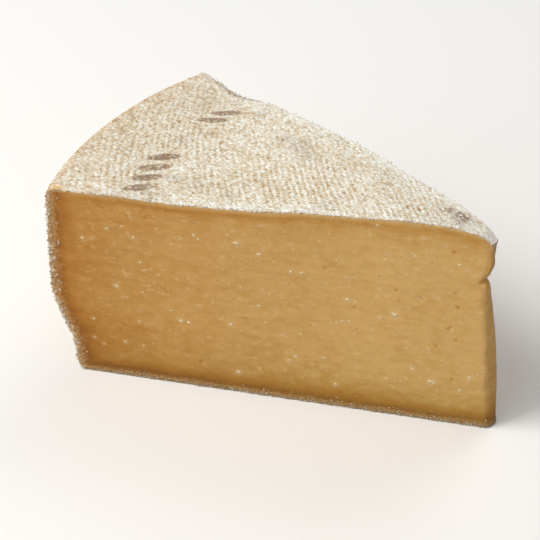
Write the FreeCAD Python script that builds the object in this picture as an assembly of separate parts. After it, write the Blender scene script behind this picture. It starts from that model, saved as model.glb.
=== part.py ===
import FreeCAD, Part
import math
import os

# A wedge cut from a wheel of aged hard cheese, lying on its flat lower rind.
# +X runs from the rind heel to the blunt tip, +Z is up, the front cut faces -Y.
# Every face is one smooth patch. Neighbouring patches are laid out by the same
# function, so their shared edges are the same curve.

os.makedirs("parts", exist_ok=True)

# ---- the wheel ------------------------------------------------------------
WHEEL_RADIUS = 161.2        # at the upper rim
HEEL_BELLY = 0.8            # how far the heel swells out at half height
HEEL_ROUND_HEIGHT = 40.0    # the heel begins to draw in below this height
HEEL_FOOT_HEIGHT = 9.0      # and stands upright again below this one
HEEL_ROUND_INSET = 7.3      # how far it is drawn in between the two
FOOT_CORNER = 6.0           # rounding between heel and base
FOOT_CORNER_SHARE = 0.7     # 1 would be a full quarter round
RIM_CORNER = 2.6            # rounding between top and heel
CROWN_HEIGHT = 89.9         # top, near the middle of the wheel
RIM_DROP_FRONT = 5.9        # fall of the top to the rim along the front cut
RIM_DROP_BACK = 9.0         # the same along the back cut
CROWN_FLAT_FRONT = 15.0     # where that fall begins along the front cut
CROWN_FLAT_BACK = 60.0      # the same along the back cut
FALL_LENGTH = 105.0         # and the distance it takes

# ---- the two cuts and the tip ---------------------------------------------
CUT_HALF_ANGLE = 18.1       # each cut from the middle line, degrees
CUT_APEX_X = 7.6            # the cuts meet this far past the wheel centre
CUT_DISH = 0.9              # drying draws the cut faces in between the rinds
CUT_WAVE = 0.25             # slight wander of the knife
CUT_WAVE_LENGTH = 70.0
TIP_BASE_X = 6.8            # front corner of the blunt tip, at the base
TIP_LEAN = 5.6              # the tip leans back this far up to the notch
TIP_LIP = 1.4               # the rind and the paste under it stand out again
TIP_LIP_HEIGHT = 7.0        # over this height above the notch
TIP_TOP_WIDTH = 3.2
TIP_BASE_WIDTH = 5.4
TIP_SWELL = 2.0             # the tip face is wider still at half height
TIP_SKEW = 16.0             # the tip face is turned this far, degrees
TIP_BULGE = 0.6             # the tip face is rounded out by this much
TIP_SAG = 2.6               # the rind dips over the tip
TIP_SAG_LENGTH = 9.0
NOTCH_HEIGHT = 69.0         # crumbled notch across the tip, under the rind

# ---- unevenness of the top ------------------------------------------------
DIP_DEPTH = 2.6             # hollow in the top beside the back rim corner
DIP_FROM_RIM = 25.0
DIP_LENGTH = 11.0
DIP_REACH = 0.45            # how far across the wedge it reaches
PRESS_WAVE = 0.3            # gentle waves left by the press cloth
PRESS_WAVE_LENGTH = 46.0

# ---- layout of the patches ------------------------------------------------
ALONG = 20                  # rows from tip to rim
ACROSS = 8                  # rows from front cut to back cut
UPWARD = 24                 # rows from base to top
TIP_CROWDING = 1.35         # rows lie closer together near the tip
END_CROWDING = 0.35         # and, going up, near the base and the top
EDGE_STEP = 0.35            # how far in the row next to a sharp edge lies
DEGREE = 3
SEW_TOLERANCE = 0.001


def smooth(t):
    t = min(max(t, 0.0), 1.0)
    return t * t * (3.0 - 2.0 * t)


def bump(t):
    return math.exp(-t * t)


def rows(count, crowding=1.0, gather=0.0):
    """Parameters from 0 to 1, with an extra row close to either end."""
    full = 2.0 * math.pi
    inner = [(i / count) ** crowding for i in range(1, count)]
    inner = [t - gather * math.sin(full * t) / full for t in inner]
    first = inner[0] * EDGE_STEP
    last = 1.0 - (1.0 - inner[-1]) * EDGE_STEP
    return [0.0, first] + inner + [last, 1.0]


def heel_radius(z, top):
    """Outline of the heel: drawn in below, swollen in the middle, rounded at both ends."""
    radius = WHEEL_RADIUS + HEEL_BELLY * math.sin(math.pi * min(z / top, 1.0))
    radius -= HEEL_ROUND_INSET * smooth((HEEL_ROUND_HEIGHT - z) / (HEEL_ROUND_HEIGHT - HEEL_FOOT_HEIGHT))
    low = max(1.0 - z / FOOT_CORNER, 0.0)
    radius -= FOOT_CORNER * (1.0 - math.sqrt(1.0 - low * low * FOOT_CORNER_SHARE))
    high = max(1.0 - (top - z) / RIM_CORNER, 0.0)
    return radius - RIM_CORNER * (1.0 - math.sqrt(1.0 - high * high * 0.5))


def between(front, back, v):
    return front + (back - front) * (v + 1.0) / 2.0


def top_height(x, y, v):
    """Height of the upper rind above a plan position."""
    r = math.hypot(x, y)
    flat = between(CROWN_FLAT_FRONT, CROWN_FLAT_BACK, v)
    drop = between(RIM_DROP_FRONT, RIM_DROP_BACK, v)
    z = CROWN_HEIGHT - drop * smooth((r - flat) / FALL_LENGTH)
    z -= TIP_SAG * bump((TIP_BASE_X - TIP_LEAN + TIP_LIP - x) / TIP_SAG_LENGTH)
    dip = bump((WHEEL_RADIUS - DIP_FROM_RIM - r) / DIP_LENGTH)
    z -= DIP_DEPTH * dip * bump((v - 1.0) / DIP_REACH)
    wave = 2.0 * math.pi / PRESS_WAVE_LENGTH
    return z + PRESS_WAVE * math.sin(wave * x) * math.cos(wave * y)


def tip_point(v, w):
    """Plan position on the tip face; v runs front to back, w base to top."""
    z = w * (CROWN_HEIGHT - TIP_SAG)
    up = min(z / NOTCH_HEIGHT, 1.0)
    x = TIP_BASE_X - TIP_LEAN * up + TIP_LIP * smooth((z - NOTCH_HEIGHT) / TIP_LIP_HEIGHT)
    width = TIP_BASE_WIDTH + (TIP_TOP_WIDTH - TIP_BASE_WIDTH) * up
    width += TIP_SWELL * math.sin(math.pi * up)
    front_y = -(CUT_APEX_X - x) * math.tan(math.radians(CUT_HALF_ANGLE))
    turn = math.radians(TIP_SKEW)
    along = width * 0.5 * (v + 1.0)
    out = TIP_BULGE * (1.0 - v * v)
    return (x + along * math.sin(turn) + out * math.cos(turn),
            front_y + along * math.cos(turn) - out * math.sin(turn))


def heel_point(v, radius):
    """Plan position on the heel, on the cut line at angle v from the middle."""
    angle = math.radians(CUT_HALF_ANGLE) * v
    b = CUT_APEX_X * math.cos(angle)
    reach = b + math.sqrt(b * b - CUT_APEX_X ** 2 + radius ** 2)
    return (CUT_APEX_X - reach * math.cos(angle), reach * math.sin(angle))


def point(u, v, w):
    """u: tip to heel, v: front cut to back cut, w: base to top, each at its ends."""
    tip_x, tip_y = tip_point(v, w)
    rim_x, rim_y = heel_point(v, WHEEL_RADIUS)
    rim_top = top_height(rim_x, rim_y, v) - RIM_CORNER * (1.0 - math.sqrt(0.5))
    heel_x, heel_y = heel_point(v, heel_radius(w * rim_top, rim_top))
    x = tip_x + (heel_x - tip_x) * u
    y = tip_y + (heel_y - tip_y) * u
    corner = max(1.0 - (1.0 - u) * WHEEL_RADIUS / RIM_CORNER, 0.0)
    top = top_height(x, y, v) - RIM_CORNER * (1.0 - math.sqrt(1.0 - corner * corner * 0.5))
    dish = CUT_DISH * 16.0 * u * (1.0 - u) * w * (1.0 - w)
    wave = CUT_WAVE * math.sin(2.0 * math.pi * x / CUT_WAVE_LENGTH)
    y -= v * (dish + wave * 4.0 * w * (1.0 - w) * smooth(4.0 * u) * smooth(4.0 - 4.0 * u))
    return FreeCAD.Vector(x, y, w * top)


def knots(pole_count):
    inner = pole_count - DEGREE
    marks = [i / inner for i in range(inner + 1)]
    repeats = [DEGREE + 1] + [1] * (inner - 1) + [DEGREE + 1]
    return marks, repeats


def patch(grid):
    """A smooth face shaped by a grid of points; its edges follow the grid's edges."""
    marks_a, repeats_a = knots(len(grid))
    marks_b, repeats_b = knots(len(grid[0]))
    surface = Part.BSplineSurface()
    surface.buildFromPolesMultsKnots(
        grid, repeats_a, repeats_b, marks_a, marks_b, False, False, DEGREE, DEGREE)
    return surface.toShape()


def edge(points):
    marks, repeats = knots(len(points))
    curve = Part.BSplineCurve()
    curve.buildFromPolesMultsKnots(points, repeats, marks, False, DEGREE)
    return curve.toShape()


along = rows(ALONG, TIP_CROWDING)
across = [2.0 * t - 1.0 for t in rows(ACROSS)]
upward = rows(UPWARD, gather=END_CROWDING)

top_face = patch([[point(u, v, 1.0) for v in across] for u in along])
front_cut = patch([[point(u, -1.0, w) for w in upward] for u in along])
back_cut = patch([[point(u, 1.0, w) for w in upward] for u in along])
heel_face = patch([[point(1.0, v, w) for w in upward] for v in across])
tip_face = patch([[point(0.0, v, w) for w in upward] for v in across])

base_edges = [
    edge([point(u, -1.0, 0.0) for u in along]),
    edge([point(1.0, v, 0.0) for v in across]),
    edge([point(u, 1.0, 0.0) for u in reversed(along)]),
    edge([point(0.0, v, 0.0) for v in reversed(across)]),
]
base_face = Part.Face(Part.Wire(base_edges))

skin = Part.makeShell([top_face, front_cut, back_cut, heel_face, tip_face, base_face])
skin.sewShape(SEW_TOLERANCE)
wedge = Part.makeSolid(skin)
if wedge.Volume < 0.0:
    wedge.reverse()

# the origin is the middle of the bottom of the bounding box
box = wedge.optimalBoundingBox(False, False)
wedge.translate(FreeCAD.Vector(-box.Center.x, -box.Center.y, -box.ZMin))
wedge.exportStep("parts/cheese_wedge.step")
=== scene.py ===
import math

import bmesh
import bpy
import numpy as np
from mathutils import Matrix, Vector


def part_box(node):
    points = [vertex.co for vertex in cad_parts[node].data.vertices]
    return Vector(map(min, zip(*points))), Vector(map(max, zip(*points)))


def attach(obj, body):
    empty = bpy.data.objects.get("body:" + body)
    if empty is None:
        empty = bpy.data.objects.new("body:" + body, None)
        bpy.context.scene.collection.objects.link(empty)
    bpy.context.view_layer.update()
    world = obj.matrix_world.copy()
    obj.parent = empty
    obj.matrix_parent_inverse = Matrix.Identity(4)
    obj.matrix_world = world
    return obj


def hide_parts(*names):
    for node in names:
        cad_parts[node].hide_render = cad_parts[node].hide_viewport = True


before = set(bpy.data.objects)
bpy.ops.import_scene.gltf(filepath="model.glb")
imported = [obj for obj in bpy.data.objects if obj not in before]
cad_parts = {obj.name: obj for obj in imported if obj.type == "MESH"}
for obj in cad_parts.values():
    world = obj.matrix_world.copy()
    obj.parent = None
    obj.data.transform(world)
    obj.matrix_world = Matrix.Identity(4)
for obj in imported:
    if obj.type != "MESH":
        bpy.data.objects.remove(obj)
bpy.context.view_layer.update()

# A wedge of aged hard cheese: golden paste inside a pale, cloth-pressed rind.
# Lengths are in millimetres and are turned into metres where a mesh is made.
MM = 0.001
NODE = "cheese_wedge"

# ---- form of the wedge, as in the CAD -------------------------------------
WHEEL_RADIUS = 161.2
HEEL_BELLY = 0.8
HEEL_ROUND_HEIGHT = 40.0
HEEL_FOOT_HEIGHT = 9.0
HEEL_ROUND_INSET = 7.3
FOOT_CORNER = 6.0
FOOT_CORNER_SHARE = 0.7
RIM_CORNER = 2.6
RIM_CORNER_SHARE = 0.5
CROWN_HEIGHT = 89.9
RIM_DROP_FRONT = 5.9
RIM_DROP_BACK = 9.0
CROWN_FLAT_FRONT = 15.0
CROWN_FLAT_BACK = 60.0
FALL_LENGTH = 105.0
CUT_HALF_ANGLE = math.radians(18.1)
CUT_APEX_X = 7.6
CUT_DISH = 0.9
CUT_WAVE = 0.25
CUT_WAVE_LENGTH = 70.0
TIP_BASE_X = 6.8
TIP_LEAN = 5.6
TIP_LIP = 1.4
TIP_LIP_HEIGHT = 7.0
TIP_TOP_WIDTH = 3.2
TIP_BASE_WIDTH = 5.4
TIP_SWELL = 2.0
TIP_SKEW = math.radians(16.0)
TIP_BULGE = 0.6
TIP_SAG = 2.6
TIP_SAG_LENGTH = 9.0
NOTCH_HEIGHT = 69.0
DIP_DEPTH = 2.6
DIP_FROM_RIM = 25.0
DIP_LENGTH = 11.0
DIP_REACH = 0.45
PRESS_WAVE = 0.3
PRESS_WAVE_LENGTH = 46.0

# ---- rind and paste -------------------------------------------------------
RIND_TOP = 0.8              # thickness of the crust that shows on the cuts
RIND_HEEL = 2.4
RIND_BASE = 2.3
BURIED = 1.6                # how far the unseen inside of a crust lies in the paste
MIDDLE = np.array([-90.0, 0.0, 45.0])   # a point deep in the paste
TIP_DROOP = 2.6             # how far the crust sinks over the worn tip
TIP_DROOP_LENGTH = 5.0
CORE_INSET = 0.7            # how far the paste stays below the crust's outside, at top and base
HEEL_INSET = 1.2
CRUMB_COUNT = 2200
TOP_STEP = 0.38             # mesh step on the upper rind
HEEL_STEP = 0.45
BASE_STEP = 0.7
CUT_STEP = 0.66             # mesh step in the middle of the cuts
EDGE_STEP = 0.35            # and in a margin along their edges
EDGE_MARGIN = 6.0
CORE_COLUMNS = 17           # columns of the paste's unseen faces, from cut to cut
ROW_SPARE = 1.03            # a row bends, so it gets a few more steps than a straight one
HEEL_SPARE = 1.04


# ---- small tools ----------------------------------------------------------
def smooth(t):
    t = np.clip(t, 0.0, 1.0)
    return t * t * (3.0 - 2.0 * t)


def bump(t):
    return np.exp(-t * t)


def lerp(a, b, t):
    return a + (b - a) * t


def unit(rows):
    return rows / np.linalg.norm(rows, axis=1, keepdims=True)


def lattice(ix, iy, iz, seed):
    """A fixed random number from 0 to 1 for each whole-number point."""
    h = (ix.astype(np.int64) * 374761393 + iy.astype(np.int64) * 668265263
         + iz.astype(np.int64) * 2147483647 + seed * 974634777)
    h = (h ^ (h >> 13)) * 1274126177
    h = h & 0x7FFFFFFF
    h = (h ^ (h >> 15)) * 2246822519
    h = (h ^ (h >> 16)) & 0xFFFFFF
    return h / float(0xFFFFFF)


def noise(p, size, seed):
    """Smooth noise from -1 to 1 with features of the given size. p is (n, 3)."""
    q = p / size
    base = np.floor(q)
    f = q - base
    f = f * f * f * (f * (f * 6.0 - 15.0) + 10.0)
    out = 0.0
    for dx in (0, 1):
        wx = f[:, 0] if dx else 1.0 - f[:, 0]
        for dy in (0, 1):
            wy = f[:, 1] if dy else 1.0 - f[:, 1]
            for dz in (0, 1):
                wz = f[:, 2] if dz else 1.0 - f[:, 2]
                corner = lattice(base[:, 0] + dx, base[:, 1] + dy, base[:, 2] + dz, seed)
                out = out + wx * wy * wz * corner
    return out * 2.0 - 1.0


def fractal(p, size, seed, octaves=3, gain=0.5):
    out, weight, total = 0.0, 1.0, 0.0
    for k in range(octaves):
        out = out + weight * noise(p, size / 2.0 ** k, seed + 17 * k)
        total += weight
        weight *= gain
    return out / total


def roughen(base, p, *waves):
    """The base and noise over it: each wave is its height, its size and its seed."""
    for height, size, seed in waves:
        base = base + height * noise(p, size, seed)
    return base


def cells(p, size, seed, jitter=0.85):
    """Distance to the nearest scattered point, in cell sizes, and that point's random number."""
    q = p / size
    base = np.floor(q)
    best = np.full(len(p), 9.0)
    tag = np.zeros(len(p))
    for dx in (-1, 0, 1):
        for dy in (-1, 0, 1):
            for dz in (-1, 0, 1):
                cx, cy, cz = base[:, 0] + dx, base[:, 1] + dy, base[:, 2] + dz
                d = np.zeros(len(p))
                for axis, c in enumerate((cx, cy, cz)):
                    spot = c + 0.5 + jitter * (lattice(cx, cy, cz, seed + axis) - 0.5)
                    d += (spot - q[:, axis]) ** 2
                near = d < best
                best = np.where(near, d, best)
                tag = np.where(near, lattice(cx, cy, cz, seed + 7), tag)
    return np.sqrt(best), tag


# ---- the form -------------------------------------------------------------
def rounding(depth, size, share):
    """How far a rounded corner draws a face in, at a depth from its edge. At a share of 1 it is full."""
    near = np.clip(1.0 - depth / size, 0.0, 1.0)
    return size * (1.0 - np.sqrt(1.0 - near * near * share))


def heel_radius(z, top):
    radius = WHEEL_RADIUS + HEEL_BELLY * np.sin(np.pi * np.clip(z / top, 0.0, 1.0))
    under = smooth((HEEL_ROUND_HEIGHT - z) / (HEEL_ROUND_HEIGHT - HEEL_FOOT_HEIGHT))
    radius = radius - HEEL_ROUND_INSET * under - rounding(z, FOOT_CORNER, FOOT_CORNER_SHARE)
    return radius - rounding(top - z, RIM_CORNER, RIM_CORNER_SHARE)


def between(front, back, v):
    return front + (back - front) * (v + 1.0) / 2.0


def top_height(x, y, v):
    r = np.hypot(x, y)
    flat = between(CROWN_FLAT_FRONT, CROWN_FLAT_BACK, v)
    drop = between(RIM_DROP_FRONT, RIM_DROP_BACK, v)
    z = CROWN_HEIGHT - drop * smooth((r - flat) / FALL_LENGTH)
    z = z - TIP_SAG * bump((TIP_BASE_X - TIP_LEAN + TIP_LIP - x) / TIP_SAG_LENGTH)
    dip = bump((WHEEL_RADIUS - DIP_FROM_RIM - r) / DIP_LENGTH)
    z = z - DIP_DEPTH * dip * bump((v - 1.0) / DIP_REACH)
    wave = 2.0 * np.pi / PRESS_WAVE_LENGTH
    return z + PRESS_WAVE * np.sin(wave * x) * np.cos(wave * y)


def tip_point(v, w):
    z = w * (CROWN_HEIGHT - TIP_SAG)
    up = np.minimum(z / NOTCH_HEIGHT, 1.0)
    x = TIP_BASE_X - TIP_LEAN * up + TIP_LIP * smooth((z - NOTCH_HEIGHT) / TIP_LIP_HEIGHT)
    width = TIP_BASE_WIDTH + (TIP_TOP_WIDTH - TIP_BASE_WIDTH) * up
    width = width + TIP_SWELL * np.sin(np.pi * up)
    front_y = -(CUT_APEX_X - x) * math.tan(CUT_HALF_ANGLE)
    along = width * 0.5 * (v + 1.0)
    out = TIP_BULGE * (1.0 - v * v)
    return (x + along * math.sin(TIP_SKEW) + out * math.cos(TIP_SKEW),
            front_y + along * math.cos(TIP_SKEW) - out * math.sin(TIP_SKEW))


def heel_point(v, radius):
    angle = CUT_HALF_ANGLE * v
    b = CUT_APEX_X * np.cos(angle)
    reach = b + np.sqrt(b * b - CUT_APEX_X ** 2 + radius ** 2)
    return CUT_APEX_X - reach * np.cos(angle), reach * np.sin(angle)


def point(u, v, w):
    """A place on or in the wedge. u: tip 0 to heel 1, v: front cut -1 to back cut 1, w: base 0 to top 1."""
    u, v, w = np.broadcast_arrays(np.asarray(u, float), np.asarray(v, float), np.asarray(w, float))
    tip_x, tip_y = tip_point(v, w)
    rim_x, rim_y = heel_point(v, WHEEL_RADIUS)
    rim_top = top_height(rim_x, rim_y, v) - rounding(0.0, RIM_CORNER, RIM_CORNER_SHARE)
    heel_x, heel_y = heel_point(v, heel_radius(w * rim_top, rim_top))
    x = tip_x + (heel_x - tip_x) * u
    y = tip_y + (heel_y - tip_y) * u
    top = top_height(x, y, v) - rounding((1.0 - u) * WHEEL_RADIUS, RIM_CORNER, RIM_CORNER_SHARE)
    dish = CUT_DISH * 16.0 * u * (1.0 - u) * w * (1.0 - w)
    wave = CUT_WAVE * np.sin(2.0 * np.pi * x / CUT_WAVE_LENGTH)
    y = y - v * (dish + wave * 4.0 * w * (1.0 - w) * smooth(4.0 * u) * smooth(4.0 - 4.0 * u))
    return np.stack([x, y, w * top], -1)


def place():
    """Shift from the form's own frame to the part's frame."""
    low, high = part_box(NODE)
    count = 41
    grid = np.array([(u, v, w) for u in (0.0, 1.0) for v in np.linspace(-1.0, 1.0, count)
                     for w in np.linspace(0.0, 1.0, count)])
    p = point(*grid.T)
    middle = (p.min(0) + p.max(0)) / 2.0
    return np.array([(low.x + high.x) / 2.0 / MM - middle[0],
                     (low.y + high.y) / 2.0 / MM - middle[1], 0.0])


SHIFT = place()


# each outer face: the parameter that is fixed on it, its value, and the sign of the outward normal
FACES = {"top": (2, 1.0, -1.0), "base": (2, 0.0, 1.0), "heel": (0, 1.0, -1.0), "tip": (0, 0.0, 1.0),
         "front": (1, -1.0, -1.0), "back": (1, 1.0, 1.0)}


def on_face(kind, a, b):
    """(u, v, w) of places on an outer face, given its two free parameters in that order."""
    axis, value, sign = FACES[kind]
    columns = [a, b]
    columns.insert(axis, np.full(len(a), value))
    return np.stack(columns, -1)


def outward(kind, a, b):
    """Unit normal of an outer face at its two free parameters."""
    axis, value, sign = FACES[kind]
    low_a = -1.0 if axis == 0 else 0.0
    low_b = -1.0 if axis == 2 else 0.0
    step = 0.002
    a0, a1 = np.clip(a - step, low_a, 1.0), np.clip(a + step, low_a, 1.0)
    b0, b1 = np.clip(b - step, low_b, 1.0), np.clip(b + step, low_b, 1.0)
    ahead, behind, above, below = (point(*on_face(kind, *place).T)
                                   for place in ((a1, b), (a0, b), (a, b1), (a, b0)))
    return unit(np.cross(ahead - behind, above - below) * sign)


def cut_outward(side, u, w):
    """Unit normal of the front cut where side is below zero, and of the back cut elsewhere."""
    return np.where(side[:, None] < 0, outward("front", u, w), outward("back", u, w))


# ---- mesh building --------------------------------------------------------
def zip_rows(a, b):
    """Triangles between two rows of vertex numbers that may differ in length."""
    faces, i, j = [], 0, 0
    na, nb = len(a) - 1, len(b) - 1
    while i < na or j < nb:
        if j >= nb or (i < na and (i + 1) * nb <= (j + 1) * na):
            faces.append((a[i], a[i + 1], b[j]))
            i += 1
        else:
            faces.append((a[i], b[j + 1], b[j]))
            j += 1
    return faces


def build(name, p, faces, material, extra=None):
    """A closed piece from points in the form's frame, with its point attributes and faces turned outwards."""
    mesh = bpy.data.meshes.new(name)
    mesh.from_pydata(((p + SHIFT) * MM).tolist(), [], faces)
    mesh.validate()
    for key, values in (extra or {}).items():
        values = np.asarray(values, np.float32)
        flat = values.ndim == 1
        layer = mesh.attributes.new(key, "FLOAT" if flat else "FLOAT_VECTOR", "POINT")
        layer.data.foreach_set("value" if flat else "vector", values.ravel())
    mesh.materials.append(material)
    mesh.shade_smooth()
    bm = bmesh.new()
    bm.from_mesh(mesh)
    bmesh.ops.recalc_face_normals(bm, faces=bm.faces)
    bm.to_mesh(mesh)
    bm.free()
    piece = bpy.data.objects.new(name, mesh)
    bpy.context.scene.collection.objects.link(piece)
    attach(piece, "root")
    return piece


def droop(from_tip):
    """How far the crust sinks over the worn tip."""
    return TIP_DROOP * np.clip(1.0 - from_tip / TIP_DROOP_LENGTH, 0.0, 1.0) ** 2


def outer_rows(kind, step):
    """Rows of the two parameters of an outer face, spaced about step apart."""
    if kind == "heel":
        count = int(2.0 * WHEEL_RADIUS * math.sin(CUT_HALF_ANGLE) * HEEL_SPARE / step)
        corner = FOOT_CORNER / CROWN_HEIGHT
        foot = np.linspace(0.0, corner, int(FOOT_CORNER * 1.6 / step), endpoint=False)
        wall = np.linspace(corner, 1.0, int(CROWN_HEIGHT / step))
        heights = np.concatenate([foot * foot / FOOT_CORNER * CROWN_HEIGHT, wall])
        return [(np.linspace(-1.0, 1.0, count), np.full(count, w)) for w in heights]
    height = 1.0 if kind == "top" else 0.0
    length = int((WHEEL_RADIUS + 4.0) / step)
    rows = []
    for u in np.linspace(0.0, 1.0, length):
        ends = point(u, np.array([-1.0, 1.0]), height)
        count = max(int(np.linalg.norm(ends[1] - ends[0]) * ROW_SPARE / step) + 1, 6)
        rows.append((np.full(count, u), np.linspace(-1.0, 1.0, count)))
    return rows


def edge_loop(index):
    """The vertex numbers once round a grid of rows."""
    left = [int(row[0]) for row in index]
    right = [int(row[-1]) for row in index]
    return np.array(left + index[-1][1:-1].tolist() + right[::-1] + index[0][1:-1][::-1].tolist())


def wall_directions(kind, uvw, normal):
    """The way that the crust's edge faces, whether it is open to view, and whether it is at the tip."""
    side = np.sign(uvw[:, 1]) * (np.abs(uvw[:, 1]) > 0.999)
    at_tip = (uvw[:, 0] < 0.001) & (kind != "heel")
    is_open = (side != 0) | at_tip
    facing = np.where(is_open[:, None], 0.0, normal)
    facing = facing + np.where((side != 0)[:, None], cut_outward(side, uvw[:, 0], uvw[:, 2]), 0.0)
    facing = facing + np.where(at_tip[:, None], outward("tip", uvw[:, 1], uvw[:, 2]), 0.0)
    return unit(facing), is_open, at_tip


def inside_faces(last, rows, width):
    """The unseen inside of a crust, straight across from one cut to the other."""
    front = last[:rows]
    heel_end = last[rows:rows + width]
    back = last[rows + width:2 * rows + width][::-1]
    tip_end = last[2 * rows + width:]
    faces = [(front[i], front[i + 1], back[i + 1], back[i]) for i in range(rows - 1)]
    faces.append(tuple([front[-1]] + heel_end + [back[-1]]))
    faces.append(tuple([back[0]] + tip_end + [front[0]]))
    return faces


LIP = 0.06                  # how far the outer skin of a crust stands over the cut, and its limits
LIP_LEAST = -0.15
LIP_MOST = 0.55
LIP_AT_TIP = 0.2            # share of it that the worn tip keeps
EDGE_PROUD = 0.08           # how far the cut edge stands out under the skin, and sinks at its inner end
EDGE_SUNK = 0.10
TOP_LIP_BACK = 0.12         # the thin upper crust is cut cleaner, and darkens faster
TOP_EDGE_BACK = 0.10
TOP_DEEPENS = 1.7


def slab(kind, step, thick, wall_rows):
    """A crust: its relief outside, a rough wall round its edge where it was cut, and a plain inside.
    Returns points, faces and attributes."""
    rows = outer_rows(kind, step)
    a = np.concatenate([row[0] for row in rows])
    b = np.concatenate([row[1] for row in rows])
    starts = np.cumsum([0] + [len(row[0]) for row in rows])
    index = [np.arange(start, end) for start, end in zip(starts[:-1], starts[1:])]
    faces = []
    for low, high in zip(index[:-1], index[1:]):
        faces += zip_rows(low.tolist(), high.tolist())
    uvw = on_face(kind, a, b)
    base = point(*uvw.T)
    normal = outward(kind, a, b)
    height, marks = rind_relief(base, normal, uvw)
    outer = base + normal * height[:, None]

    # the outer skin frays over the cut
    loop = edge_loop(index)
    is_top = kind == "top"
    facing, is_open, at_tip = wall_directions(kind, uvw[loop], normal[loop])
    lip = roughen(LIP, outer[loop], (0.26, 0.8, 301), (0.22, 2.3, 302)) - TOP_LIP_BACK * is_top
    lip = np.where(at_tip, LIP_AT_TIP * lip, lip)
    spread = np.zeros((len(outer), 3))
    spread[loop] = facing * np.where(is_open, np.clip(lip, LIP_LEAST, LIP_MOST), 0.0)[:, None]
    outer = outer + spread

    # rows of the cut edge, inwards from the skin, and one more that is buried in the paste
    tall = np.maximum(base[loop, 2], 1.0)
    deep = thick * roughen(1.0, base[loop], (0.30, 5.0, 311), (0.30, 1.3, 312))
    columns = [loop]
    points, depths = [outer], [np.zeros(len(outer))]
    total = len(outer)
    for k in range(1, wall_rows + 2):
        share = min(k / wall_rows, 1.0)
        buried = BURIED if k > wall_rows else 0.0
        d = deep * share + buried
        q = uvw[loop].copy()
        if kind == "top":
            q[:, 2] = 1.0 - d / tall
        elif kind == "base":
            q[:, 2] = d / CROWN_HEIGHT
        else:
            q[:, 0] = 1.0 - d / WHEEL_RADIUS
        below = base[loop] - normal[loop] * d[:, None]
        spot = np.where(is_open[:, None], point(*q.T), below)
        proud = roughen(EDGE_PROUD, spot, (0.15, 0.8, 321), (0.11, 2.2, 322)) - TOP_EDGE_BACK * is_top
        if is_top:
            spot[:, 2] -= droop(uvw[loop, 0] * WHEEL_RADIUS)
        proud = proud * (1.0 - share ** 3) - EDGE_SUNK * share ** 3 - buried
        spot = spot + facing * np.where(is_open, proud, 0.0)[:, None]
        if buried:
            spot = spot + unit(MIDDLE - spot) * BURIED * 2.0
        points.append(spot)
        depths.append(np.full(len(loop), share * (TOP_DEEPENS if is_top else 1.0)))
        columns.append(np.arange(total, total + len(loop)))
        total += len(loop)
    for upper, lower in zip(columns[:-1], columns[1:]):
        up, low = upper.tolist(), lower.tolist()
        n = len(up)
        faces += [(up[i], low[i], low[(i + 1) % n], up[(i + 1) % n]) for i in range(n)]
    faces += inside_faces(columns[-1].tolist(), len(index), len(index[-1]) - 2)
    p = np.concatenate(points)
    depth = np.concatenate(depths)
    extra = {"depth": depth}
    for key, values in marks.items():
        extra[key] = np.concatenate([values] + [values[loop]] * (wall_rows + 1))
    extra["cloth"][:, 2] = depth * thick / GRAIN
    extra["pale"] = np.full(len(p), 1.0 if is_top else 0.0)
    return p, faces, extra


# ---- rind relief ----------------------------------------------------------
FLAT_FROM = 0.55            # a normal that rises or falls by more than this is on the flat rind
FLAT_FADE = 0.3
WEAVE_PITCH = 1.95
WEAVE_TURN = math.radians(42.0)
WEAVE_BEND = 0.003          # the cloth was laid on askew, so its threads curve
WEAVE_MIDDLE = -50.0
HEEL_WEAVE_SHIFT = 7.0
CLOTH_TOP = 78.0            # the print on the heel fades out at this height
CLOTH_FADE = 6.0
CLOTH_RISE = 0.13
CROSS_PITCH = 1.45
GRAIN = 0.95                # size of the chalky granules
GRAIN_LONG = 1.25
GRAIN_RISE = 0.20
LUMP_RISE_TOP = 0.10
LUMP_RISE_HEEL = 0.42
SETTLED = 0.18              # lowers the whole skin, so that its lumps end near the plain form
STAMP_RADIUS = 128.0
STAMP_GRAINS = (-15.4, -12.0, -8.6, -5.2, 9.4, 12.8)    # degrees round the wheel
STAMP_SLANT = 0.5
STAMP_WIDE = 2.3
STAMP_LONG = 6.4
RIM_TAN = 7.0               # width of the tan band inside the rim, and of the fainter one beyond it
RIM_FAINT = 45.0
CHIP_ALONG = 8.5            # the rind has broken off at the front end of the rim
CHIP_ACROSS = 3.4
CHIP_DOWN = 2.6
CHIP_DEPTH = 0.45
BRUISE = (-10.5, 1.0)       # a dark spot on the rind near the tip
BRUISE_LONG = 9.0
BRUISE_WIDE = 3.4


def threads(x, y, p):
    """Distances across and along the threads of the cloth."""
    bend = WEAVE_BEND * (x - WEAVE_MIDDLE) * y
    across = x * math.cos(WEAVE_TURN) + y * math.sin(WEAVE_TURN) + bend
    along = -x * math.sin(WEAVE_TURN) + y * math.cos(WEAVE_TURN)
    return (roughen(across, p, (0.55, 16.0, 41), (0.22, 5.0, 43)),
            roughen(along, p, (0.5, 13.0, 42), (0.25, 4.0, 44)))


def stamp(x, y):
    """Worn remains of a stamped border: slanting grains along a circle round the wheel's middle."""
    away = np.hypot(x, y) - STAMP_RADIUS
    angle = np.arctan2(y, -x)
    ca, sa = math.cos(STAMP_SLANT), math.sin(STAMP_SLANT)
    ink = np.zeros(len(x))
    for at in STAMP_GRAINS:
        along = (angle - math.radians(at)) * STAMP_RADIUS
        du, dv = along * ca + away * sa, -along * sa + away * ca
        ink = np.maximum(ink, smooth((1.15 - np.hypot(du / STAMP_WIDE, dv / STAMP_LONG)) / 0.34))
    return ink


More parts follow.
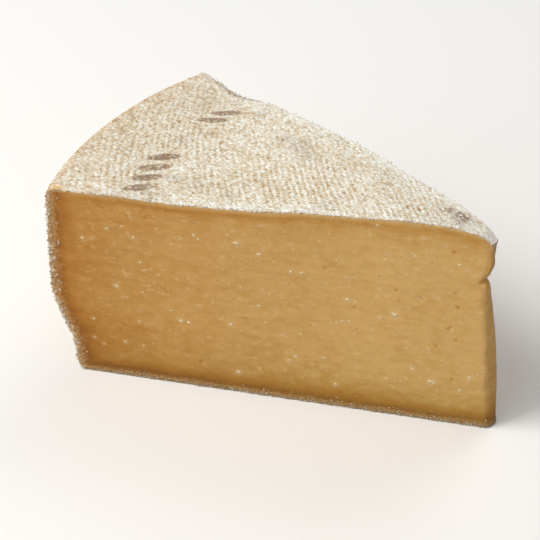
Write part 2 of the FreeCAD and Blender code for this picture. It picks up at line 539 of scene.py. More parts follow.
def broken_corner(p, r, uvw):
    """The torn place at the front end of the rim, from 0 to 1."""
    from_rim = (1.0 - uvw[:, 0]) * WHEEL_RADIUS
    from_cut = (uvw[:, 1] + 1.0) * CUT_HALF_ANGLE * r
    down = np.clip(top_height(p[:, 0], p[:, 1], uvw[:, 1]) - p[:, 2], 0.0, None)
    torn = 1.0 - np.hypot(np.hypot(from_rim / CHIP_ALONG, from_cut / CHIP_ACROSS), down / CHIP_DOWN)
    return smooth(roughen(torn, p, (0.25, 1.6, 67)) / 0.22)


def dark_marks(p, r, uvw, on_top):
    """The dark spot near the tip, and a painted shadow line along the hollow at the back edge."""
    far = np.hypot((p[:, 0] - BRUISE[0]) / BRUISE_LONG, (p[:, 1] - BRUISE[1]) / BRUISE_WIDE)
    # the dark spot near the tip; the painted shadow line is joined to it below
    bruise_and_shadow = smooth(roughen(1.25 - far, p, (0.45, 3.2, 69))) * on_top
    # painted shadow: a dark line along the hollow at the back edge, where the rim slopes away from the light
    across = bump((r - WHEEL_RADIUS + DIP_FROM_RIM - 2.0) / 15.0)
    return np.maximum(bruise_and_shadow, 0.9 * (across * smooth((uvw[:, 1] - 0.94) / 0.05) * on_top))


def rind_relief(p, normal, uvw):
    """How far the skin of the rind stands off its plain form, and what its material reads."""
    x, y, z = p[:, 0], p[:, 1], p[:, 2]
    r = np.hypot(x, y)
    inset = WHEEL_RADIUS - r
    on_top = smooth((normal[:, 2] - FLAT_FROM) / FLAT_FADE)
    on_base = smooth((-normal[:, 2] - FLAT_FROM) / FLAT_FADE)
    flat = on_top + on_base
    level = flat > 0.5
    # the print of the cloth, weak in places and gone at the rim
    arc = np.arctan2(y, -x) * WHEEL_RADIUS
    across, along = threads(np.where(level, x, z + HEEL_WEAVE_SHIFT), np.where(level, y, arc), p)
    thread = 0.5 + 0.5 * np.cos(2.0 * np.pi * across / WEAVE_PITCH)
    bead = 0.5 + 0.5 * np.cos(2.0 * np.pi * along / CROSS_PITCH + np.pi * across / WEAVE_PITCH)
    cloth = thread * (0.45 + 0.55 * bead)
    strength = np.clip(0.55 + 0.75 * fractal(p, 15.0, 51, 2), 0.05, 1.0)
    from_edge = np.where(level, inset - 0.5, CLOTH_TOP - z)
    strength = strength * smooth(from_edge / CLOTH_FADE) * (1.0 - 0.6 * on_base)
    # chalky granules, and some larger lumps
    far, tag = cells(p, 1.0, 61)
    grain = np.clip(1.0 - far * 1.25, 0.0, 1.0)
    fine = noise(p, 0.45, 63)
    lump, lump_tag = cells(p, 2.6, 66)
    lump = smooth(1.0 - lump * 1.9) * (lump_tag > 0.62)
    height = CLOTH_RISE * strength * (cloth - 0.5) + GRAIN_RISE * (grain - 0.35) * (0.4 + tag) + 0.06 * fine
    height = height + 0.10 * fractal(p, 6.0, 64, 3) + 0.15 * fractal(p, 22.0, 65, 2) - SETTLED
    height = height + lump * np.where(on_base > 0.5, 0.0, np.where(level, LUMP_RISE_TOP, LUMP_RISE_HEEL))
    chip = broken_corner(p, r, uvw)
    height = height - CHIP_DEPTH * chip * roughen(0.8, p, (0.5, 1.1, 68))
    height = height - droop(uvw[:, 0] * WHEEL_RADIUS) * on_top
    # the rind is paler along the cuts, and tan at the rim and on the heel
    dusty = np.exp(-(1.0 - np.abs(uvw[:, 1])) * CUT_HALF_ANGLE * r / 4.0) * on_top
    shade = (0.5 + 0.20 * dusty + 0.48 * strength * (cloth - 0.42) + 0.36 * (grain - 0.40)
             + 0.22 * (tag - 0.5) + 0.14 * fine)
    tan = np.maximum(smooth(1.0 - inset / RIM_TAN), 0.34 * smooth(1.0 - inset / RIM_FAINT)) * on_top
    vector = np.stack([across / GRAIN, along / GRAIN_LONG + 0.5 * across / GRAIN, 0.0 * x], -1)
    return height, {"relief": np.clip(shade, 0.0, 1.0), "ink": np.where(on_top > 0.5, stamp(x, y), 0.0),
                    "rim": np.maximum(tan, 1.0 - flat), "chip": chip,
                    "bruise_and_shadow": dark_marks(p, r, uvw, on_top), "damp_and_shade": on_base, "cloth": vector}


# ---- materials ------------------------------------------------------------
def srgb(r, g, b):
    def part(c):
        c = c / 255.0
        return c / 12.92 if c <= 0.04045 else ((c + 0.055) / 1.055) ** 2.4
    return (part(r), part(g), part(b), 1.0)


class Nodes:
    """Short names for the shader nodes that the materials share. Sizes are in millimetres."""

    def __init__(self, name):
        self.material = bpy.data.materials.new(name)
        self.material.use_nodes = True
        self.tree = self.material.node_tree
        self.tree.nodes.clear()
        self.shader = self.new("BsdfPrincipled")
        self.new("OutputMaterial", Surface=self.shader.outputs["BSDF"])
        self.place = self.new("TexCoord").outputs["Object"]

    def feed(self, socket, value):
        if isinstance(value, bpy.types.NodeSocket):
            self.tree.links.new(value, socket)
        else:
            socket.default_value = value

    def fill(self, node, inputs):
        """Sets or links the inputs of a node. In their names, _ stands for a space."""
        for key, value in inputs.items():
            self.feed(node.inputs[key.replace("_", " ")], value)
        return node

    def new(self, kind, **inputs):
        return self.fill(self.tree.nodes.new("ShaderNode" + kind), inputs)

    def set(self, **inputs):
        self.fill(self.shader, inputs)

    def attribute(self, name, output="Fac"):
        node = self.new("Attribute")
        node.attribute_name = name
        return node.outputs[output]

    def maths(self, kind, a, b):
        node = self.new("Math")
        node.operation = kind
        self.feed(node.inputs[0], a)
        self.feed(node.inputs[1], b)
        return node.outputs[0]

    def times(self, a, b):
        return self.maths("MULTIPLY", a, b)

    def opposite(self, value):
        return self.maths("SUBTRACT", 1.0, value)

    def blend(self, base, *terms):
        """base + each (value, weight, middle): weight * (value - middle)."""
        total = base
        for value, weight, middle in terms:
            total = self.maths("ADD", total, self.times(self.maths("SUBTRACT", value, middle), weight))
        return total

    def stretch(self, scale, turn=0.0):
        """Places for a pattern that is drawn out along the cuts and turned on them."""
        turns = (0.0, turn, CUT_HALF_ANGLE)
        return self.new("Mapping", Vector=self.place, Rotation=turns, Scale=scale).outputs["Vector"]

    def noise(self, size, detail=3.0, rough=0.55, vector=None):
        return self.new("TexNoise", Vector=vector or self.place, Scale=1.0 / (size * MM), Detail=detail,
                        Roughness=rough).outputs["Fac"]

    def spots(self, vector, scale, jitter):
        """Distance to the nearest of many scattered points, and that point's random number."""
        node = self.new("TexVoronoi", Vector=vector, Scale=scale, Randomness=jitter)
        return node.outputs["Distance"], node.outputs["Color"]

    def window(self, value, low, high):
        """0 below low, 1 above high, and smooth between them. It falls where low is the higher."""
        node = self.new("MapRange", Value=value, From_Min=low, From_Max=high)
        node.interpolation_type = "SMOOTHSTEP"
        return node.outputs["Result"]

    def ramp(self, value, *stops):
        node = self.new("ValToRGB", Fac=value)
        elements = node.color_ramp.elements
        while len(elements) < len(stops):
            elements.new(1.0)
        for element, (at, color) in zip(elements, stops):
            element.position = at
            element.color = color
        return node.outputs["Color"]

    def mix(self, factor, a, b, kind="MIX"):
        node = self.new("Mix")
        node.data_type = "RGBA"
        node.blend_type = kind
        self.feed(node.inputs[0], factor)
        self.feed(node.inputs[6], a)
        self.feed(node.inputs[7], b)
        return node.outputs[2]

    def cover(self, color, where, share, paint):
        """The paint over the colour, up to its share where the mask is 1."""
        return self.mix(self.times(where, share), color, paint)

    def stain(self, color, where, share, paint):
        """The paint multiplied into the colour, up to its share where the mask is 1."""
        return self.mix(self.times(where, share), color, paint, "MULTIPLY")

    def bump(self, height, strength, distance, **normal):
        node = self.new("Bump", Height=height, Strength=strength, Distance=distance * MM, **normal)
        return node.outputs["Normal"]


def crust_edge(n, tone, depth):
    """The cut edge of a crust: chalky under the skin, paler on the thin upper rind, and greyer and darker on
    the base, partly from dampness and partly as painted shade of the board.
    """
    edge = n.ramp(n.blend(tone, (n.noise(1.3, 3.0, 0.6), 0.8, 0.5)),
                  (0.05, srgb(168, 124, 74)), (0.45, srgb(200, 166, 122)), (0.8, srgb(236, 220, 192)))
    edge = n.cover(edge, n.opposite(n.window(depth, 0.10, 0.42)), 0.6, srgb(228, 208, 176))
    bright = n.ramp(tone, (0.1, srgb(226, 198, 152)), (0.5, srgb(240, 226, 198)), (0.9, srgb(252, 248, 236)))
    edge = n.mix(n.attribute("pale"), edge, bright)
    # on the base: greyer and darker, partly dampness and partly painted shade where the crust meets the board
    return n.stain(edge, n.attribute("damp_and_shade"), 0.9, srgb(196, 200, 196))


def rind_material():
    n = Nodes("rind")
    far, tag = n.spots(n.attribute("cloth", "Vector"), 1.0, 0.8)
    fine = n.noise(0.5, 2.0, 0.6)
    tone = n.blend(0.50, (n.attribute("relief"), 0.72, 0.5), (far, -0.50, 0.42), (tag, 0.38, 0.5),
                   (fine, 0.6, 0.5))
    color = n.ramp(tone, (0.0, srgb(150, 120, 84)), (0.22, srgb(188, 168, 137)), (0.45, srgb(207, 199, 181)),
                   (0.68, srgb(221, 221, 213)), (1.0, srgb(244, 246, 243)))
    # tan specks, and soft patches of tan and of grey
    speck = n.window(n.blend(n.noise(1.5, 2.0, 0.6), (tag, -0.12, 0.5)), 0.60, 0.72)
    color = n.stain(color, speck, 0.5, srgb(206, 178, 136))
    dark_speck = n.window(n.noise(2.3, 2.0, 0.7, n.stretch((1.0, 1.7, 1.0))), 0.66, 0.76)
    color = n.stain(color, dark_speck, 0.55, srgb(170, 146, 116))
    color = n.stain(color, n.window(n.noise(9.0), 0.48, 0.70), 0.28, srgb(222, 200, 162))
    grey = n.window(n.noise(13.0, 3.0, 0.6, n.stretch((1.0, 1.0, 1.0), 0.4)), 0.52, 0.72)
    color = n.stain(color, grey, 0.38, srgb(204, 200, 200))
    # what the form says: tan at the rim, a base darkened partly by dampness and partly with painted shade of
    # the board, the dark spot near the tip with a painted shadow line at the back edge, and the worn stamp
    rim = n.times(n.attribute("rim"), n.window(n.noise(4.5), 0.22, 0.66))
    color = n.stain(color, rim, 0.72, srgb(228, 190, 142))
    # the underside: darker, partly dampness and partly painted shade of the board
    damp_and_shade = n.times(n.attribute("damp_and_shade"), n.window(n.noise(7.0, 4.0), 0.2, 0.7))
    color = n.stain(color, damp_and_shade, 0.6, srgb(196, 172, 138))
    # the dark spot near the tip, and the painted shadow line in the hollow at the back edge
    bruise_and_shadow = n.times(n.attribute("bruise_and_shadow"), n.window(n.noise(0.9, 3.0, 0.7), 0.40, 0.54))
    color = n.cover(color, bruise_and_shadow, 0.85, srgb(112, 84, 72))
    inked = n.times(n.attribute("ink"), n.window(n.blend(fine, (tag, 0.7, 0.5)), 0.20, 0.52))
    color = n.cover(color, inked, 0.84, srgb(118, 88, 66))
    # the cut edge, stained by the paste further in
    depth = n.attribute("depth")
    color = n.mix(n.window(depth, 0.02, 0.35), color, crust_edge(n, tone, depth))
    deep = n.window(n.blend(depth, (n.noise(1.1), 0.9, 0.5)), 0.30, 1.05)
    paste = n.mix(n.attribute("pale"), srgb(176, 124, 60), srgb(218, 182, 130))
    # deep in the base crust: a darker paste, partly painted shade of the board
    paste = n.mix(n.attribute("damp_and_shade"), paste, srgb(160, 122, 68))
    color = n.cover(color, deep, 0.92, paste)
    flesh = n.ramp(n.noise(1.8, 3.0, 0.6), (0.3, srgb(186, 146, 82)), (0.52, srgb(200, 168, 106)),
                   (0.62, srgb(228, 212, 176)))
    color = n.mix(n.attribute("chip"), color, flesh)
    grit = n.bump(n.noise(0.35, 2.0, 0.7), 0.45, 0.10)
    n.set(Base_Color=color, Roughness=n.blend(0.86, (fine, 0.15, 0.5)), Specular_IOR_Level=0.25,
          Normal=n.bump(n.opposite(far), 0.4, 0.22, Normal=grit))
    return n.material


EYE_SPACING = 4.6


def small_eyes(n, color, clear):
    """Small eyes in the paste, with no hollow in the mesh: a spot of painted shade in a paler ring."""
    far, tag = n.spots(n.stretch((0.8, 1.0, 1.0)), 1.0 / (EYE_SPACING * MM), 1.0)
    far = n.blend(far, (n.noise(0.8, 2.0), 0.09, 0.5))
    chosen = n.window(tag, 0.47, 0.56)
    ring = n.times(chosen, n.opposite(n.window(far, 0.14, 0.30)))
    pit = n.times(chosen, n.opposite(n.window(far, 0.05, 0.15)))
    color = n.cover(color, n.times(ring, clear), 0.30, srgb(228, 200, 150))
    # the eye's hollow as painted shade
    return n.cover(color, pit, 0.55, srgb(192, 120, 36))


def paste_material():
    n = Nodes("paste")
    dry_and_shade = n.attribute("dry_and_shade")
    streak = n.noise(3.2, 4.0, 0.62, n.stretch((0.22, 1.0, 1.0), 0.05))
    mottle = n.noise(2.6, 3.0, 0.6, n.stretch((0.5, 1.0, 1.0), 0.06))
    tone = n.blend(dry_and_shade, (n.noise(15.0), 0.34, 0.5), (streak, 0.34, 0.5), (mottle, 0.54, 0.5))
    color = n.ramp(tone, (0.0, srgb(222, 180, 112)), (0.16, srgb(214, 170, 98)), (0.45, srgb(200, 148, 70)),
                   (0.72, srgb(184, 128, 50)), (1.0, srgb(162, 108, 38)))
    color = n.stain(color, n.attribute("aged"), 0.75, srgb(240, 222, 196))
    # painted light of the board thrown back: the paste is less red towards the base
    color = n.mix(n.attribute("low"), color, srgb(232, 249, 246), "MULTIPLY")
    rust = n.window(n.noise(7.0, 3.0, 0.6, n.stretch((0.7, 1.0, 1.0), 0.4)), 0.55, 0.75)
    color = n.stain(color, rust, 0.22, srgb(236, 206, 166))
    # chalky flecks and dust, which thin out where the paste is darker, by dryness and by painted shade
    clear = n.window(dry_and_shade, 0.62, 0.05)
    fleck = n.window(n.noise(2.1, 2.5, 0.6, n.stretch((0.7, 1.0, 1.0), 0.35)), 0.58, 0.72)
    color = n.cover(color, n.times(fleck, clear), 0.5, srgb(232, 204, 154))
    dust = n.window(n.noise(0.7, 2.0, 0.6, n.stretch((0.6, 1.0, 1.0), 0.3)), 0.60, 0.74)
    color = n.cover(color, n.times(dust, clear), 0.36, srgb(228, 200, 152))
    # soft halos round the crystals, and scuffs next to the rind, with painted light just under the top crust
    halo = n.times(n.attribute("chalk"), n.window(n.noise(0.9, 2.0, 0.6), 0.25, 0.6))
    color = n.cover(color, halo, 0.6, srgb(230, 204, 154))
    scuff_and_light = n.window(n.blend(n.noise(1.1, 3.0, 0.65), (n.attribute("scuff_and_light"), 0.46, 0.0)), 0.58, 1.05)
    color = n.cover(color, scuff_and_light, 0.62, srgb(206, 174, 126))
    color = small_eyes(n, color, clear)
    # painted shade in the pinholes and along the notch
    color = n.cover(color, n.attribute("hole"), 0.9, srgb(196, 126, 48))
    drag = n.bump(streak, 0.35, 0.14)
    n.set(Base_Color=color, Roughness=n.blend(0.50, (streak, 0.3, 0.5)), Specular_IOR_Level=0.35,
          Subsurface_Weight=0.10, Subsurface_Radius=(1.0, 0.55, 0.2), Subsurface_Scale=2.0 * MM,
          Normal=n.bump(n.noise(0.8, 3.0, 0.6), 0.22, 0.10, Normal=drag))
    return n.material


def crystal_material():
    n = Nodes("crystal")
    color = n.ramp(n.noise(0.8, 2.0), (0.3, srgb(222, 192, 142)), (0.7, srgb(242, 222, 184)))
    n.set(Base_Color=color, Roughness=n.maths("ADD", 0.45, n.times(n.noise(0.5), 0.3)),
          Subsurface_Weight=0.1, Subsurface_Scale=1.0 * MM, Normal=n.bump(n.noise(0.25, 2.0), 0.1, 0.05))
    return n.material


RIND = rind_material()
PASTE = paste_material()
CRYSTAL = crystal_material()

# ---- rind -----------------------------------------------------------------
for name, kind, step, thick, wall_rows in (("rind_top", "top", TOP_STEP, RIND_TOP, 4),
                                           ("rind_heel", "heel", HEEL_STEP, RIND_HEEL, 7),
                                           ("rind_base", "base", BASE_STEP, RIND_BASE, 6)):
    p, faces, extra = slab(kind, step, thick, wall_rows)
    build(name, p, faces, RIND, extra)

# ---- places on the cuts ---------------------------------------------------
UP = np.array([0.0, 0.0, 1.0])
DOWN = -UP
# (distance along the front cut from the cuts' meeting line, height, radius)
PINHOLES = ((37.6, 58.4, 0.75), (28.6, 56.4, 0.8), (36.4, 54.0, 0.6), (62.4, 43.4, 0.55), (22.0, 35.4, 0.65),
            (18.0, 44.0, 0.7), (63.8, 64.0, 1.0), (61.6, 54.4, 0.7), (52.8, 47.6, 1.1), (15.0, 54.4, 0.7))
# the same two places, with the length and the slant of the crystal
CRYSTALS = (
    (96.6, 70.0, 2.0, -0.2), (88.4, 66.2, 1.3, -0.3), (76.6, 60.0, 1.1, 0.0), (72.6, 60.2, 1.0, 0.1),
    (55.4, 51.0, 1.3, 0.0), (52.6, 50.6, 0.7, 0.3), (37.8, 47.4, 2.3, -0.4), (88.6, 42.6, 0.9, -0.4),
    (118.8, 30.2, 1.5, -0.3), (115.6, 30.0, 1.2, -0.1), (143.4, 42.6, 1.4, -0.5), (135.2, 27.2, 0.8, 0.0),
    (74.2, 21.0, 1.2, -0.4), (77.0, 18.8, 0.9, 0.1), (63.6, 22.0, 0.8, 0.2), (22.6, 18.4, 2.6, -0.3),
    (8.8, 23.2, 1.3, -0.3), (12.0, 16.4, 0.9, 0.0), (96.6, 9.6, 1.9, -0.4), (45.4, 86.0, 0.7, 0.0),
    (15.6, 73.6, 0.9, 0.0), (141.2, 16.6, 0.8, 0.2))
MORE_FRONT_CRYSTALS = 34
BACK_CRYSTALS = 60
MORE_PINHOLES = 26          # on each cut
PINHOLE_DEPTH = 0.5         # share of its radius


def on_cut(side, along, z):
    """Point of the flat cut, given the distance from the line where the cuts meet."""
    x, y = CUT_APEX_X - along * math.cos(CUT_HALF_ANGLE), side * along * math.sin(CUT_HALF_ANGLE)
    return np.array([x, y, z])


def cut_facing(side):
    return np.array([math.sin(CUT_HALF_ANGLE), side * math.cos(CUT_HALF_ANGLE), 0.0])


def towards_tip(side):
    return np.array([math.cos(CUT_HALF_ANGLE), -side * math.sin(CUT_HALF_ANGLE), 0.0])


def scattered(rng, count):
    """Random places on a cut: distance from the meeting line, height and a number from 0 to 1."""
    along = rng.uniform(8.0, 160.0, count)
    z = rng.uniform(5.0, 84.0, count)
    return zip(along, z, rng.uniform(0.0, 1.0, count))


def crystal_places():
    """Every crystal of both cuts: side, distance from the meeting line, height, length, slant."""
    places = [(-1.0,) + crystal for crystal in CRYSTALS]
    for cut_side, seed, count in ((-1.0, 10, MORE_FRONT_CRYSTALS), (1.0, 12, BACK_CRYSTALS)):
        rng = np.random.default_rng(seed)
        places += [(cut_side, along, z, 0.45 + 1.3 * q ** 3, rng.uniform(-0.6, 0.2))
                   for along, z, q in scattered(rng, count)]
    return places


def pinholes():
    """Every pinhole of both cuts: side, distance from the meeting line, height, radius."""
    places = [(-1.0,) + hole for hole in PINHOLES]
    for cut_side, seed in ((-1.0, 5), (1.0, 6)):
        rng = np.random.default_rng(seed)
        places += [(cut_side, along, z, 0.35 + 0.4 * q) for along, z, q in scattered(rng, MORE_PINHOLES)]
    return places


# ---- paste ----------------------------------------------------------------
def graded(length):
    """Parameters 0 to 1 along a cut, with a finer step in both margins."""
    margin = EDGE_MARGIN / length
    fine = int(EDGE_MARGIN / EDGE_STEP)
    middle = int((length - 2 * EDGE_MARGIN) / CUT_STEP)
    return np.concatenate([np.linspace(0, margin, fine, endpoint=False),
                           np.linspace(margin, 1 - margin, middle, endpoint=False),
                           np.linspace(1 - margin, 1, fine + 1)])


def core_grid():
    """The six faces of the paste, joined: (u, v, w) of each point, and the quads."""
    us, ws = graded(WHEEL_RADIUS), graded(CROWN_HEIGHT)
    vs = np.linspace(-1.0, 1.0, CORE_COLUMNS)
    keys, quads, total = [], [], 0
    for kind, a, b in (("front", us, ws), ("back", us, ws), ("tip", vs, ws), ("heel", vs, ws),
                       ("base", us, vs), ("top", us, vs)):
        grid_a, grid_b = np.meshgrid(a, b, indexing="ij")
        keys.append(on_face(kind, grid_a.ravel(), grid_b.ravel()))
        i, j = np.meshgrid(np.arange(len(a) - 1), np.arange(len(b) - 1), indexing="ij")
        k = total + (i * len(b) + j).ravel()
        quads.append(np.stack([k, k + len(b), k + len(b) + 1, k + 1], -1))
        total += grid_a.size
    unique, back = np.unique(np.round(np.concatenate(keys), 7), axis=0, return_inverse=True)
    return unique, back.ravel()[np.concatenate(quads)]


uvw, quads = core_grid()
v = uvw[:, 1]
inner_u = uvw[:, 0] * (1.0 - HEEL_INSET / WHEEL_RADIUS)
inner_w = lerp(CORE_INSET / CROWN_HEIGHT, 1.0 - CORE_INSET / CROWN_HEIGHT, uvw[:, 2])
from_tip = inner_u * WHEEL_RADIUS
side = np.sign(v)
is_cut = np.abs(v) > 0.999
is_tip = uvw[:, 0] < 0.001
cut_normal = cut_outward(side, inner_u, inner_w)
tip_normal = outward("tip", v, inner_w)


def rippled(p):
    """How the knife's track, the worn arris at the tip and the crumbling tip move the plain paste."""
    ripple = 0.10 * fractal(p, 18.0, 71, 2) + 0.05 * noise(p * np.array([0.12, 0.12, 1.0]), 1.6, 72)
    ripple = ripple + 0.05 * fractal(p, 2.2, 73, 2)
    wear = roughen(1.5, p, (0.5, 6.0, 74))
    from_arris = np.where(is_tip, (1.0 - np.abs(v)) * TIP_BASE_WIDTH / 2.0, from_tip)
    worn = 0.085 * wear * np.clip(1.0 - from_arris / wear, 0.0, 1.0) ** 2 * (is_cut | is_tip)
    move = np.where((is_cut & ~is_tip)[:, None], cut_normal * ripple[:, None], 0.0)
    move -= (cut_normal + tip_normal) * worn[:, None]
    move[:, 2] -= droop(from_tip) * inner_w ** 6
    crumbled = 0.25 * fractal(p, 5.0, 75, 3)
    move += np.where((is_tip & ~is_cut)[:, None], tip_normal * crumbled[:, None], 0.0)
    return move


def pitted(p):
    """How the pinholes move the paste, and a mask of them."""
    move = np.zeros((len(p), 3))
    mask = np.zeros(len(p))
    for cut_side, along, z, radius in pinholes():
        away = np.linalg.norm(p - on_cut(cut_side, along, z), axis=1)
        inside = smooth((1.25 - away / radius) / 0.8) * is_cut * (side == cut_side)
        move -= cut_normal * (inside * radius * PINHOLE_DEPTH)[:, None]
        mask = np.maximum(mask, inside)
    return move, mask


def beside(distance, start, length):
    """1 up to start, and fading over the length beyond it."""
    return np.exp(-np.clip(distance - start, 0.0, None) / length)


def paste_marks(p, grains):
    """What the material of the paste reads: its dryness by the rind, with painted shade towards the base and
    on the tip face and painted light just under the top crust; its age; its scuffs and halos; and a painted
    tint of the board's light towards the base.
    """
    top = top_height(p[:, 0], p[:, 1], v)
    d_top = np.clip(top - p[:, 2], 0.0, None)
    d_base = np.clip(p[:, 2], 0.0, None)
    foot = np.clip(heel_radius(p[:, 2], top) - np.hypot(p[:, 0], p[:, 1]), 0.0, None)
    d_heel = np.minimum(np.clip((1.0 - inner_u) * WHEEL_RADIUS, 0.0, None), foot)
    uneven = 1.0 + 0.3 * fractal(p, 9.0, 81, 3)
    # the dark band under the top crust starts half a millimetre down: painted light over the shadow that the
    # crust's edge throws
    top_dry_and_light = (0.34 * smooth((d_top - 0.5) / 2.2) * beside(d_top, 3.0, 2.6 * uneven)
               + 0.10 * np.exp(-d_top / 12.0) * smooth((d_top - 0.6) / 3.0))
    # darker towards the base: partly dryness by the rind, partly painted shade of the board
    base_dry_and_shade = 0.78 * beside(d_base, 3.5, 4.6 * uneven) + 0.22 * np.exp(-d_base / 14.0)
    dry_heel = (0.55 * beside(d_heel, 4.5, 3.5 * uneven) + 0.40 * np.exp(-d_heel / (32.0 * uneven))
                + 0.18 * np.exp(-d_base / 16.0))
    dry_and_shade = np.maximum.reduce([top_dry_and_light, base_dry_and_shade, dry_heel])
    # more darkening towards the base, most by the heel, and a little by the top: partly painted shade of the
    # board
    dry_and_shade += (0.30 * np.exp(-d_base / 12.0) + 0.06 * np.exp(-d_top / 9.0)) * np.exp(-d_heel / 55.0)
    # painted shade: the tip face is darkened as a side turned from the light
    dry_and_shade += np.where(is_tip, 0.12, 0.0)
    scuff_and_light = np.maximum.reduce([beside(d_heel, 2.0, 2.4 * uneven), 0.8 * beside(d_base, 1.9, 1.3 * uneven),
                               # by the top crust: pale dust, and painted light over the crust edge's shadow
                               0.75 * beside(d_top, 1.2, 1.1 * uneven),
                               0.6 * bump(from_tip / 3.5) * smooth((p[:, 2] - 74.0) / 8.0)])
    chalk = np.zeros(len(p))
    for cut_side, along, z, length, slant in grains:
        near_by = is_cut & (side == cut_side)
        away = np.linalg.norm(p[near_by] - on_cut(cut_side, along, z), axis=1) / (0.45 + 0.62 * length)
        chalk[near_by] = np.maximum(chalk[near_by], bump(away * 0.95))
    return {"dry_and_shade": dry_and_shade, "aged": 1.0 - smooth(d_heel / 140.0), "scuff_and_light": scuff_and_light, "chalk": chalk,
            # less red towards the base: painted light of the board
            "low": np.exp(-d_base / 11.0)}


core = point(inner_u, v, inner_w)
pits, hole = pitted(core)
core = core + (rippled(core) + pits)
grains = crystal_places()
marks = paste_marks(core, grains)
# the notch that runs across the tip, with painted shade along it
crease = bump((core[:, 2] - NOTCH_HEIGHT + 1.5 + 1.2 * noise(core, 3.0, 76)) / 1.1)
groove = crease * smooth(1.0 - from_tip / 2.4)
marks["hole"] = np.maximum(hole, 0.8 * groove)
core = core - tip_normal * (0.75 * groove)[:, None]
paste = build("paste", core, quads.tolist(), PASTE, marks)
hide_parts(NODE)


# ---- crystals and crumbs --------------------------------------------------
def round_ball(subdivisions):
    """Points and triangles of a ball with a radius of 1."""
    bm = bmesh.new()
    bmesh.ops.create_icosphere(bm, subdivisions=subdivisions, radius=1.0)
    points = np.array([vert.co for vert in bm.verts])
    triangles = np.array([[vert.index for vert in face.verts] for face in bm.faces])
    bm.free()
    return points, triangles


def grain_shape(ball, key, uneven, size, seed, axes, lengths):
    """An irregular grain about its centre, with a half length along each of its three axes."""
    shape = ball * roughen(1.0, ball + key, (uneven, size, seed))[:, None]
    return sum(shape[:, i:i + 1] * axis * length for i, (axis, length) in enumerate(zip(axes, lengths)))


def crystals(grains):
    """Pale crystals that lie flat in the cuts."""
    ball, triangles = round_ball(2)
    points, faces = [], []
    for k, (cut_side, along, z, length, slant) in enumerate(grains):
        out = cut_facing(cut_side)
        lie = towards_tip(cut_side) * math.cos(slant) + UP * math.sin(slant)
        spot = on_cut(cut_side, along, z)
        nearest = np.argmin(np.where(is_cut & (side == cut_side), ((core - spot) ** 2).sum(1), np.inf))
        spot = spot + out * ((core[nearest] - spot) @ out)
        width = 0.5 + 0.44 * length
        lengths = (1.3 * length / 2.0, width / 2.0, min(width * 0.14, 0.10))
        shape = grain_shape(ball, k * 7.3, 0.28, 0.7, 91, (lie, np.cross(out, lie), out), lengths)
        points.append(shape + spot)
        faces.append(triangles + len(ball) * k)
    build("crystals", np.concatenate(points), np.concatenate(faces).tolist(), CRYSTAL)


# kind: the share of the crumbs up to and with it, and how much darker they are
CRUMB_KINDS = {"top": (0.40, 0.0), "heel": (0.72, 0.3), "base": (0.97, 0.6), "tip": (1.0, 0.15)}


def crumb_start(kind, t, cut_side, rng):
    """A place on a crust's cut edge, the way in from there, and how far in the crumb lies."""
    if kind == "top":
        return point(t, cut_side, 1.0), DOWN, rng.normal(0.0, 0.35)
    if kind == "heel":
        return point(1.0, cut_side, t), towards_tip(cut_side), rng.exponential(0.9) - 0.2
    if kind == "base":
        return point(t * 0.93, cut_side, 0.0), UP, 0.3 + rng.exponential(1.0)
    return point(0.0, rng.uniform(-1, 1), 1.0), DOWN, rng.exponential(0.7)


def crumbs(count, seed):
    """Chalky crumbs and fibres: on the cut faces beside the rind, thickest at its edge."""
    rng = np.random.default_rng(seed)
    ball, triangles = round_ball(1)
    kinds = list(CRUMB_KINDS)
    shares = [share for share, darker in CRUMB_KINDS.values()]
    points, faces, tones, centres = [], [], [], []
    for k in range(count):
        cut_side = -1.0 if rng.random() < 0.5 else 1.0
        kind = kinds[int(np.searchsorted(shares, rng.random()))]
        t = rng.random()
        start, inward, reach = crumb_start(kind, t, cut_side, rng)
        out = np.array([1.0, 0.0, 0.0]) if kind == "tip" else cut_facing(cut_side)
        size = rng.uniform(0.11, 0.26) * (1.2 if kind == "heel" else 1.0)
        long = size * rng.uniform(1.0, 2.8)
        turn = rng.normal(0.0, 0.7)
        lie = inward * math.cos(turn) + np.cross(out, inward) * math.sin(turn)
        axes = (lie, np.cross(out, lie), out)
        shape = grain_shape(ball, k * 5.1, 0.30, 0.8, seed, axes, (long, size, size * 0.8))
        proud = rng.uniform(-0.05, 0.22) - (0.14 if kind == "top" else 0.0)
        centre = start + inward * min(reach, 4.5) + out * proud
        centre[2] -= {"top": droop(t * WHEEL_RADIUS), "tip": TIP_DROOP}.get(kind, 0.0)
        points.append(shape + centre)
        centres.append(np.tile(centre, (len(ball), 1)))
        faces.append(triangles + len(ball) * k)
        tones.append(np.full(len(ball), rng.uniform(0.75, 1.25) - CRUMB_KINDS[kind][1]))
    p = np.concatenate(points)
    extra = {"relief": np.concatenate(tones), "cloth": np.concatenate(centres) / GRAIN}
    plain = {"depth": 0.02, "rim": 0.5, "ink": 0.0, "chip": 0.0, "bruise_and_shadow": 0.0, "damp_and_shade": 0.0, "pale": 1.0}
    extra.update({key: np.full(len(p), value) for key, value in plain.items()})
    build("rind_crumbs", p, np.concatenate(faces).tolist(), RIND, extra)


crystals(grains)
crumbs(CRUMB_COUNT, 17)

# ---- stage, light and camera ----------------------------------------------
FLOOR_SIZE = 3.0
LAMP_AIM = np.array([0.0, 0.0, 0.04])
LENS = 120.0
SENSOR = 36.0
CAMERA_AZIMUTH = 30.88      # degrees: 0 looks along +Y
CAMERA_ELEVATION = 36.46
CAMERA_DISTANCE = 689.2
CAMERA_TARGET = np.array([-86.54, -2.61, 40.0])


def back_from(azimuth, elevation):
    """The way from the wedge to a lamp or camera, given in degrees."""
    a, e = math.radians(azimuth), math.radians(elevation)
    return np.array([math.sin(a) * math.cos(e), -math.cos(a) * math.cos(e), math.sin(e)])


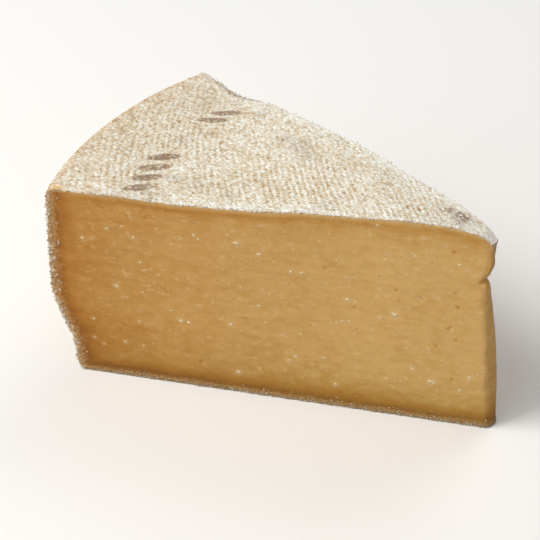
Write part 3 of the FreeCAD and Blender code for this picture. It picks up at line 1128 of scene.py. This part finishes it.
def stand(name, data, spot, back):
    """Puts a lamp or camera at its spot, looking along the opposite of back."""
    thing = bpy.data.objects.new(name, data)
    thing.location = spot
    thing.rotation_euler = Vector(back).to_track_quat("Z", "Y").to_euler()
    bpy.context.scene.collection.objects.link(thing)
    return thing


def lamp(name, azimuth, elevation, distance, size, power, color=(1.0, 1.0, 1.0)):
    """A square soft light aimed at the wedge. Its distance and size are in metres."""
    data = bpy.data.lights.new(name, "AREA")
    data.shape = "SQUARE"
    data.size = size
    data.energy = power
    data.color = color
    back = back_from(azimuth, elevation)
    stand(name, data, back * distance + LAMP_AIM, back)


def ground_material():
    """Pale to the camera, and warmer and darker in the light that it throws back."""
    n = Nodes("ground")
    seen = n.new("LightPath").outputs["Is Camera Ray"]
    n.set(Base_Color=n.mix(seen, (0.46, 0.40, 0.34, 1.0), (0.80, 0.79, 0.77, 1.0)), Roughness=0.9)
    return n.material


corners = [(x * FLOOR_SIZE, y * FLOOR_SIZE, 0.0) for x, y in ((-1, -1), (1, -1), (1, 1), (-1, 1))]
floor_mesh = bpy.data.meshes.new("floor")
floor_mesh.from_pydata(corners, [], [(0, 1, 2, 3)])
floor_mesh.materials.append(ground_material())
floor = bpy.data.objects.new("floor", floor_mesh)
bpy.context.scene.collection.objects.link(floor)

lamp("key", -48.0, 50.0, 1.6, 0.8, 23.0, (1.0, 0.985, 0.96))
lamp("front", -12.0, 30.0, 1.8, 1.2, 6.5)
lamp("rear", 175.0, 45.0, 1.6, 0.9, 6.0)

world = bpy.data.worlds.new("world")
world.use_nodes = True
background = world.node_tree.nodes["Background"]
background.inputs["Color"].default_value = (1.0, 1.0, 1.0, 1.0)
background.inputs["Strength"].default_value = 0.33

lens = bpy.data.cameras.new("camera")
lens.lens = LENS
lens.sensor_width = SENSOR
lens.clip_start = 0.01
back = back_from(CAMERA_AZIMUTH, CAMERA_ELEVATION)
scene = bpy.context.scene
scene.world = world
scene.camera = stand("camera", lens, (CAMERA_TARGET + SHIFT + back * CAMERA_DISTANCE) * MM, back)
scene.view_settings.view_transform = "Standard"
